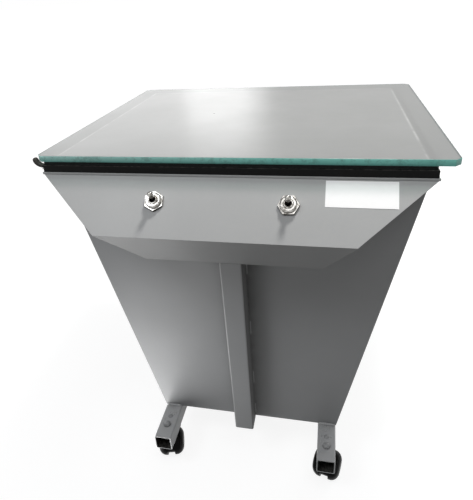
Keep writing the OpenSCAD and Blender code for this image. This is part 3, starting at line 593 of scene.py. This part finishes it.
def on_post(a, b, height):
    """A point of the post's outline, carried along the post to a height above the floor."""
    across = b - POST_SIDE / 2
    along = (height - SHEET_TOP.z - across * math.sin(LEAN)) / math.cos(LEAN)
    return front_sheet @ Vector((POST_X + a, across, along))


post_tube = square_tube(
    "post_tube", "front_post", POST_SIDE, front_enamel,
    lambda a, b, d: on_post(a, b, POST_TOP - d),
    lambda a, b, d: on_post(a, b, POST_FOOT - d),
)
# the post's right side is painted dark, as painted shade
shaded_side_enamel = enamel("shaded_side_enamel", (0.20, 0.20, 0.20), wear=0.1, roughness=0.6, reach=0.04, corner_shade=0.9)
post_tube.data.materials.append(shaded_side_enamel)
for strip in post_tube.data.polygons:
    if strip.normal.x > 0.8 and strip.material_index == 0:
        strip.material_index = 2
finish(grey_enamel, "caster_brackets")
finish(enamel("painted_fixings", (0.36, 0.365, 0.37), wear=0.5, roughness=0.3), "caster_fixings")
ease(0.0003, "caster_fixings")
ease(0.0004, "caster_brackets")

# Welds: short stitches of bead hold the post on the sheet and the hopper on its skids, painted over with the
# rest. Spatter from them stuck to the skids' tops and was painted too.
# the beads and spatter are a lighter grey than the enamel round them: a painted highlight
welded = enamel("painted_weld", (0.52, 0.525, 0.53), wear=0.3, dust=0.3, roughness=0.2)
dice = random.Random(11)
RIPPLE, STEP = 0.0017, 0.0005


def stitch(mesh, start, end, radius):
    """One stitch of weld bead: a rippled half-round string with tapered ends, half sunk in the corner."""
    length = (end - start).length
    steps = max(int(length / STEP), 6)
    path = [start.lerp(end, i / steps) for i in range(steps + 1)]
    across = (end - start).normalized().orthogonal().normalized()
    sizes = []
    for i in range(steps + 1):
        along = length * i / steps
        taper = min(1.0, (along + 0.0004) / 0.003, (length - along + 0.0004) / 0.003)
        ripple = 0.84 + 0.16 * abs(math.sin(math.pi * along / RIPPLE))
        sizes.append(radius * math.sqrt(taper) * ripple * dice.uniform(0.95, 1.05))
    turns = [math.radians(45 * k) for k in range(8)]
    sweep(mesh, path, across, lambda i: [(sizes[i] * math.cos(t), sizes[i] * math.sin(t)) for t in turns])


beads = bmesh.new()
# each stitch beside the post: its side, how far below the sheet's top it starts, its length and its radius
POST_STITCHES = (
    (-1, 0.112, 0.075, 0.0026), (-1, 0.262, 0.030, 0.0014),
    (-1, 0.378, 0.030, 0.0014), (-1, 0.462, 0.028, 0.0014),
    (1, 0.145, 0.026, 0.0013), (1, 0.262, 0.030, 0.0013),
    (1, 0.378, 0.030, 0.0013), (1, 0.462, 0.028, 0.0013),
)
for way, from_top, length, radius in POST_STITCHES:
    edge_x = POST_X + way * POST_SIDE / 2
    stitch(beads, front_sheet @ Vector((edge_x, 0.0, -from_top)),
           front_sheet @ Vector((edge_x, 0.0, -from_top - length)), radius)
FOOT_FRONT, FOOT_REAR, FOOT_HALF, SKID_TOP = -0.10675, 0.17125, 0.157, 0.088
SKID_INNER, SKID_OUTER, SKID_MIDDLE = 0.127, 0.1555, 0.141
END_BEAD, SIDE_BEAD, SIDE_STITCH = 0.0034, 0.0019, 0.03
for way in (-1, 1):
    inner_x, outer_x = MIDDLE_X + way * SKID_INNER, MIDDLE_X + way * SKID_OUTER
    for foot in (FOOT_FRONT, FOOT_REAR):
        stitch(beads, Vector((inner_x, foot, SKID_TOP)), Vector((outer_x, foot, SKID_TOP)), END_BEAD)
    foot_x = MIDDLE_X + way * FOOT_HALF
    for start in (0.012, 0.098, 0.176, 0.236):
        stitch(beads, Vector((foot_x, FOOT_FRONT + start, SKID_TOP)),
               Vector((foot_x, FOOT_FRONT + start + SIDE_STITCH, SKID_TOP)), SIDE_BEAD)
beads = piece("weld_beads", beads, welded)


def droplet(mesh, spot, radius):
    """A drop of spatter: a low six-sided dome that sits on the metal."""
    turn = dice.uniform(0, 60)
    angles = [math.radians(turn + 60 * k) for k in range(6)]
    rings = []
    for reach, rise in ((1.1, -0.1), (1.0, 0.25), (0.62, 0.6), (0.15, 0.72)):
        ring = [Vector((reach * math.cos(t), reach * math.sin(t), rise)) for t in angles]
        rings.append([spot + radius * point for point in ring])
    skin(mesh, rings)


spatter = bmesh.new()
DROPLETS, NEAREST, SPREAD, FARTHEST, TO_THE_SIDE = 34, 0.004, 0.018, 0.058, 0.0125
for way in (-1, 1):
    for foot, outward in ((FOOT_FRONT, -1), (FOOT_REAR, 1)):
        for _ in range(DROPLETS):
            away = NEAREST + abs(dice.gauss(0.0, SPREAD))
            spot_x = MIDDLE_X + way * SKID_MIDDLE + dice.uniform(-TO_THE_SIDE, TO_THE_SIDE)
            spot = Vector((spot_x, foot + outward * min(away, FARTHEST), SKID_TOP))
            droplet(spatter, spot, dice.uniform(0.0004, 0.0015))
spatter = piece("weld_spatter", spatter, welded)

# The toggle switches: ring washer, hex nut, threaded bushing and bat lever, all turned in brass and
# nickel-plated. The bushing holds the housing of brown phenolic behind the face.
# the nickel's hollows get a strong painted shade
nickel = metal("bright_nickel", (0.50, 0.488, 0.465), 0.14, grime_and_shade=0.95, tarnish=0.75)
finish(nickel, "switch_nuts", "switch_rings")
ease(0.0003, "switch_nuts", "switch_rings")

# the sloping face's own frame: its plane is Z = 0, and Y runs up it to its upper edge at zero
FACE_RISE, FACE_RUN = 57.5, 55.5
FACE_TILT = math.atan2(FACE_RISE, FACE_RUN)
face = Matrix.Translation((MIDDLE_X, -0.18375, 0.580)) @ Matrix.Rotation(FACE_TILT, 4, "X")
SWITCH_X, SWITCH_DOWN = (-0.083, 0.0795), 0.033
BARREL_R, BORE_R, FLANGE_R, THREAD_PITCH, THREAD_DEPTH = 0.006, 0.0036, 0.009, 0.001, 0.00045
THREAD_TOP, LEAD_START, LEAD_LENGTH, LEAD_R = 0.0082, 0.0083, 0.0006, 0.0054
PLAIN, ROW, AROUND = -0.0015, 0.000125, 40


def threaded_bushing(mesh, middle):
    """A bushing turned in one lathe profile, with a real helical thread on its barrel."""
    # each row: radius, height, and whether the thread is cut in it
    rows = [(0.0002, -0.002, False), (BORE_R, -0.002, False), (BORE_R, 0.0081, False),
            (0.0040, 0.0085, False), (0.0052, 0.0085, False)]
    rows += [(BARREL_R, THREAD_TOP - ROW * i, True) for i in range(int((THREAD_TOP - PLAIN) / ROW))]
    rows += [(BARREL_R - 0.0004, PLAIN, False), (FLANGE_R, PLAIN, False), (FLANGE_R, -0.003, False),
             (0.0002, -0.003, False)]
    rings = []
    for radius, height, threaded in rows:
        ring = []
        for k in range(AROUND):
            turn = 2 * math.pi * k / AROUND
            if threaded:
                phase = (height / THREAD_PITCH - k / AROUND) % 1.0
                groove = THREAD_DEPTH * (1.0 - abs(2.0 * phase - 1.0))
                lead_in = min(1.0, (LEAD_START - height) / LEAD_LENGTH)
                reach = (radius - groove) * lead_in + LEAD_R * (1.0 - lead_in)
            else:
                reach = radius
            ring.append(middle @ Vector((reach * math.cos(turn), reach * math.sin(turn), height)))
        rings.append(ring)
    skin(mesh, rings)


bushings = bmesh.new()
for x in SWITCH_X:
    threaded_bushing(bushings, face @ Matrix.Translation((x, -SWITCH_DOWN, 0.0)))
bushings = piece("threaded_bushings", bushings, nickel)
bushings.modifiers.new("crisp", "EDGE_SPLIT").split_angle = math.radians(50)
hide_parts("switch_bushings")

# each lever is turned from one bar: a neck that tips in the bushing's bore and swells to a round end
LEVER_PIVOT, LEVER_TILT, LEVER_AROUND = 0.003, math.radians(-12), 28
END_HEIGHT, END_R = 0.014, 0.0035
LEVER_ROWS = [(-0.0025, 0.0008), (-0.0021, 0.0017), (0.0, 0.0021), (0.0045, 0.0022), (0.0065, 0.0025),
              (0.0090, 0.0029), (0.0115, 0.0033)]
LEVER_ROWS += [(END_HEIGHT + END_R * math.sin(math.radians(a)), END_R * math.cos(math.radians(a)))
               for a in range(0, 88, 12)]
for side, x in zip(("left", "right"), SWITCH_X):
    hinge = face @ Matrix.Translation((x, -SWITCH_DOWN, LEVER_PIVOT)) @ Matrix.Rotation(LEVER_TILT, 4, "X")
    turns = [2 * math.pi * k / LEVER_AROUND for k in range(LEVER_AROUND)]
    lever = bmesh.new()
    skin(lever, [[hinge @ Vector((reach * math.cos(t), reach * math.sin(t), height)) for t in turns]
                 for height, reach in LEVER_ROWS])
    lever = piece("bat_lever_" + side, lever, nickel, "lever_" + side)
    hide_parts("toggle_lever_" + side)
phenolic = soft_black("brown_phenolic", (0.05, 0.035, 0.028), 0.35, 300.0, 0.05)
finish(phenolic, "switch_housings")
ease(0.0005, "switch_housings")

# The lamp: a zinc-plated bracket screwed on the base plate, with a glazed ceramic holder, a pressed brass
# cap, a frosted bulb and a spun aluminium reflector on standoffs round it.
zinc = metal("zinc_plate", (0.62, 0.63, 0.64), 0.28)
spun = metal("spun_aluminium", (0.85, 0.86, 0.87), 0.16, 400.0, (1.0, 1.0, 8.0))
brass = metal("pressed_brass", (0.80, 0.60, 0.28), 0.22)
finish(zinc, "lamp_bracket", "reflector_standoffs", "inner_screws", "fan_screws", "fan_guard",
       "caster_stems", "axle_front_left", "axle_front_right", "axle_rear_left", "axle_rear_right")
finish(spun, "lamp_reflector")
finish(brass, "lamp_cap")


def glazed(name, colour, roughness):
    """A smooth moulded or glazed surface in one colour with a slow mottle."""
    material, tree, shader, coords = new_material(name)
    mottle = noise(tree, coords, 60.0, 3.0)
    tree.links.new(mix(tree, mottle, colour, tuple(0.88 * c for c in colour)), shader.inputs["Base Color"])
    tree.links.new(between(tree, mottle, 0.3, 0.7, roughness, roughness + 0.1), shader.inputs["Roughness"])
    return material


finish(glazed("glazed_ceramic", (0.82, 0.80, 0.74), 0.12), "lampholder", "terminal_block")
frosted, tree, shader, coords = new_material("frosted_bulb")
haze = noise(tree, coords, 300.0, 4.0)
tree.links.new(mix(tree, haze, (0.93, 0.93, 0.91), (0.86, 0.86, 0.84)), shader.inputs["Base Color"])
tree.links.new(between(tree, haze, 0.3, 0.7, 0.35, 0.5), shader.inputs["Roughness"])
shader.inputs["Transmission Weight"].default_value = 0.4
finish(frosted, "lamp_bulb")

# The fan below the base plate: a moulded frame and wheel in black plastic behind a wire guard, held by four
# screws that go through the plate.
fan_plastic = soft_black("fan_plastic", (0.02, 0.02, 0.02), 0.4, 700.0, 0.08)
finish(fan_plastic, "fan_frame", "fan_rotor")
ease(0.0005, "fan_frame")

# The gland in the rear sheet's foot, moulded in black nylon: a threaded body with a locknut inside the sheet
# and a cap nut outside.
nylon = soft_black("black_nylon", (0.014, 0.014, 0.014), 0.28, 800.0, 0.05)
finish(nylon, "gland_body", "gland_nuts")
ease(0.0005, "gland_nuts")

# Wires: black plastic-sleeved ones to the switches and the fan, and pale heat-proof ones to the lamp. They
# all meet in the terminal block.
finish(glazed("black_sleeve", (0.02, 0.02, 0.02), 0.4), "switch_wires", "fan_wires")
finish(glazed("pale_sleeve", (0.75, 0.72, 0.60), 0.5), "lamp_wires")

# Casters: hoods and twin wheels moulded in glossy black nylon, on zinc-plated axles and stems. Each stem
# goes up through its skid to a domed nut.
gloss_nylon = soft_black("gloss_nylon", (0.002, 0.002, 0.002), 0.22, 900.0, 0.04, 0.05, 0.05)
for corner in ("front_left", "front_right", "rear_left", "rear_right"):
    finish(gloss_nylon, "caster_fork_" + corner, "wheel_%s_outer" % corner, "wheel_%s_inner" % corner)
    ease(0.0006, "caster_fork_" + corner)
